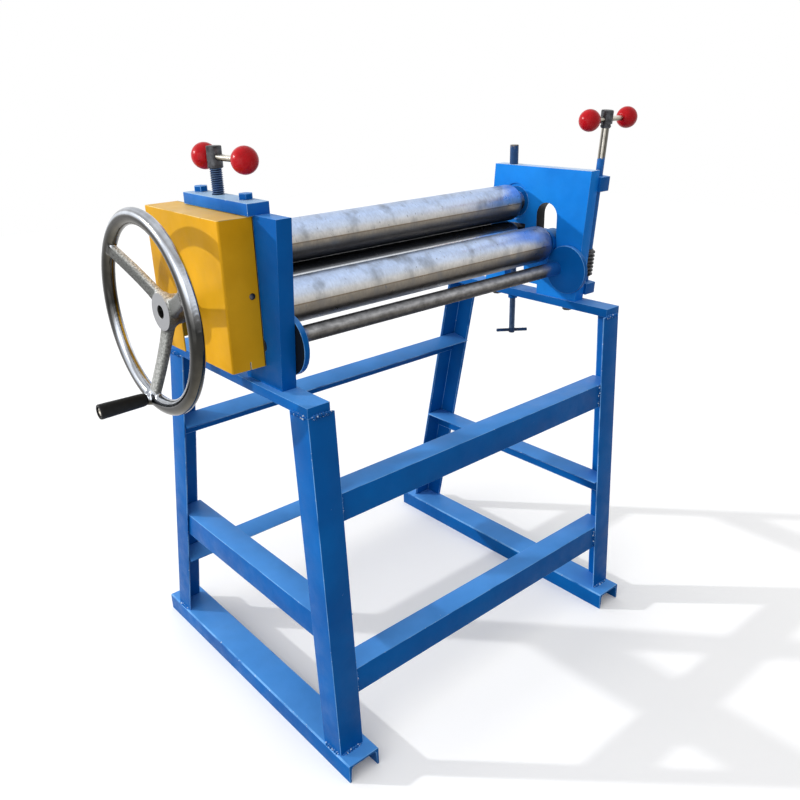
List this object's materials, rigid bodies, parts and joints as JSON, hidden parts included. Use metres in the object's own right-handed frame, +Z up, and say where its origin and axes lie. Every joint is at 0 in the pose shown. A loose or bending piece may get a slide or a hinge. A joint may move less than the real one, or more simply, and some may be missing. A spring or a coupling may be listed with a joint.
{
  "type": "slip roll machine",
  "caption": "Hand-driven slip roll machine on a welded stand: geared pinch rolls with pressure screws, handwheel, and a bending roll raised by eccentric discs through a worm drive.",
  "frame": {"origin": "middle of the overall floor plan, on the floor under the soles of the feet", "axes": "+X along the rolls from the handwheel towards the worm drive, +Y towards the side that is fed, away from the bending roll, +Z up"},
  "size_m": [1.3008, 0.82, 1.2979],
  "materials": {
    "blue_paint": "brushed-on blue enamel over weld beads, chipped at edges",
    "yellow_paint": "golden yellow enamel on folded sheet, rubbed at the edges",
    "roll_steel": "turned steel, satin, scratched along and around",
    "turned_steel": "bright turned steel",
    "dark_steel": "oiled dark steel",
    "plated_casting": "plated casting, polished on the rim, rough on the spokes",
    "bronze": "machined bearing bronze",
    "red_plastic": "glossy red moulded balls",
    "black_plastic": "satin black moulded grip"
  },
  "bodies": {
    "frame": {"foot_left": "blue_paint", "foot_right": "blue_paint", "leg_front_left": "blue_paint", "leg_front_right": "blue_paint", "leg_rear_left": "blue_paint", "leg_rear_right": "blue_paint", "top_rail_left": "blue_paint", "top_rail_right": "blue_paint", "side_tie_left": "blue_paint", "side_tie_right": "blue_paint", "rail_front_upper": "blue_paint", "rail_front_lower": "blue_paint", "rail_rear_upper": "blue_paint", "rail_rear_lower": "blue_paint", "end_plate_left": "blue_paint", "end_plate_right": "blue_paint", "plate_bolt_left_front": "dark_steel", "plate_bolt_left_rear": "dark_steel", "plate_bolt_right_front": "dark_steel", "plate_bolt_right_rear": "dark_steel", "cap_plate": "blue_paint", "cap_bolt_front": "blue_paint", "cap_bolt_rear": "blue_paint", "upper_bearing_bush": "bronze", "lower_bearing_bush": "bronze", "bearing_lock_pin": "blue_paint", "worm_block_upper": "blue_paint", "worm_block_lower": "blue_paint", "gear_cover": "yellow_paint", "cover_screw": "dark_steel"},
    "upper_bearing": {"upper_bearing_block": "dark_steel"},
    "upper_roll_body": {"upper_roll": "roll_steel", "upper_roll_gear": "dark_steel"},
    "lower_bearing": {"lower_bearing_block": "dark_steel"},
    "lower_roll_body": {"lower_roll": "roll_steel", "lower_roll_gear": "dark_steel", "handwheel": "plated_casting", "grip_spindle": "turned_steel"},
    "handle_grip": {"grip": "black_plastic"},
    "cam_shaft": {"cam_disc_left": "blue_paint", "cam_disc_right": "blue_paint", "cross_tube": "roll_steel", "worm_wheel": "dark_steel"},
    "bending_bushes": {"bending_bush_left": "bronze", "bending_bush_right": "bronze"},
    "bending_roll_body": {"bending_roll": "roll_steel"},
    "worm_spindle": {"worm": "dark_steel", "worm_shaft": "turned_steel"},
    "worm_handle": {"worm_handle_bar": "turned_steel", "worm_handle_knob_left": "red_plastic", "worm_handle_knob_right": "red_plastic"},
    "pressure_pad_body": {"pressure_pad": "dark_steel"},
    "pressure_screw_body": {"pressure_screw": "dark_steel", "pressure_screw_hub": "dark_steel"},
    "pressure_handle": {"pressure_handle_bar": "turned_steel", "pressure_handle_knob_front": "red_plastic", "pressure_handle_knob_rear": "red_plastic"},
    "lower_pad_body": {"lower_screw_pad": "dark_steel"},
    "lower_screw_body": {"lower_screw": "blue_paint"}
  },
  "joints": [
    {"name": "lower_roll_tilt", "type": "hinge", "parent": "frame", "child": "lower_bearing", "pos_m": [-0.37376, -0.038, 0.977], "axis": [0, 1, 0], "range_deg": [0, 0.1953]},
    {"name": "lower_roll_spin", "type": "hinge", "parent": "lower_bearing", "child": "lower_roll_body", "pos_m": [0.06624, -0.038, 0.977], "axis": [1, 0, 0], "continuous": true},
    {"name": "grip_spin", "type": "hinge", "parent": "lower_roll_body", "child": "handle_grip", "pos_m": [-0.60336, -0.00016, 0.79898], "axis": [1, 0, 0], "continuous": true},
    {"name": "upper_roll_tilt", "type": "hinge", "parent": "frame", "child": "upper_bearing", "pos_m": [0.50624, -0.038, 1.0685], "axis": [0, 1, 0], "range_deg": [0, 0.1953]},
    {"name": "upper_roll_spin", "type": "hinge", "parent": "upper_bearing", "child": "upper_roll_body", "pos_m": [0.06624, -0.038, 1.0685], "axis": [1, 0, 0], "continuous": true},
    {"name": "cam_turn", "type": "hinge", "parent": "frame", "child": "cam_shaft", "pos_m": [0.06624, -0.188, 0.917], "axis": [-1, 0, 0], "range_deg": [0, 60.1]},
    {"name": "bending_lift", "type": "slide", "parent": "frame", "child": "bending_bushes", "axis": [0, 0, 1], "range_m": [0, 0.042]},
    {"name": "bending_roll_spin", "type": "hinge", "parent": "bending_bushes", "child": "bending_roll_body", "pos_m": [0.06624, -0.141, 0.975], "axis": [1, 0, 0], "continuous": true},
    {"name": "worm_turn", "type": "hinge", "parent": "frame", "child": "worm_spindle", "pos_m": [0.54404, -0.23284, 0.91324], "axis": [0, 0.0836, -0.9965], "range_deg": [0, 1200.2]},
    {"name": "worm_handle_slide", "type": "slide", "parent": "worm_spindle", "child": "worm_handle", "axis": [1, 0, 0], "range_m": [-0.042, 0.026]},
    {"name": "pressure_pad_travel", "type": "slide", "parent": "frame", "child": "pressure_pad_body", "axis": [0, 0, 1], "range_m": [0, 0.00301]},
    {"name": "pressure_screw_turn", "type": "hinge", "parent": "pressure_pad_body", "child": "pressure_screw_body", "pos_m": [-0.37376, -0.05, 1.17], "axis": [0, 0, 1], "range_deg": [0, 270.2]},
    {"name": "pressure_handle_slide", "type": "slide", "parent": "pressure_screw_body", "child": "pressure_handle", "axis": [0, 1, 0], "range_m": [0, 0.069]},
    {"name": "lower_pad_travel", "type": "slide", "parent": "frame", "child": "lower_pad_body", "axis": [0, 0, -1], "range_m": [0, 0.00301]},
    {"name": "lower_screw_turn", "type": "hinge", "parent": "lower_pad_body", "child": "lower_screw_body", "pos_m": [0.50624, -0.022, 0.8], "axis": [0, 0, -1], "range_deg": [0, 540.2]}
  ],
  "couplings": [
    {"joint": "upper_roll_spin", "follows": "lower_roll_spin", "ratio": -1},
    {"joint": "cam_turn", "follows": "bending_lift", "rad_per_m": 24.933},
    {"joint": "worm_turn", "follows": "bending_lift", "rad_per_m": 498.67},
    {"joint": "pressure_pad_travel", "follows": "upper_roll_tilt", "m_per_rad": 0.88},
    {"joint": "pressure_screw_turn", "follows": "upper_roll_tilt", "ratio": 1382.3},
    {"joint": "lower_pad_travel", "follows": "lower_roll_tilt", "m_per_rad": 0.88},
    {"joint": "lower_screw_turn", "follows": "lower_roll_tilt", "ratio": 2764.6}
  ]
}
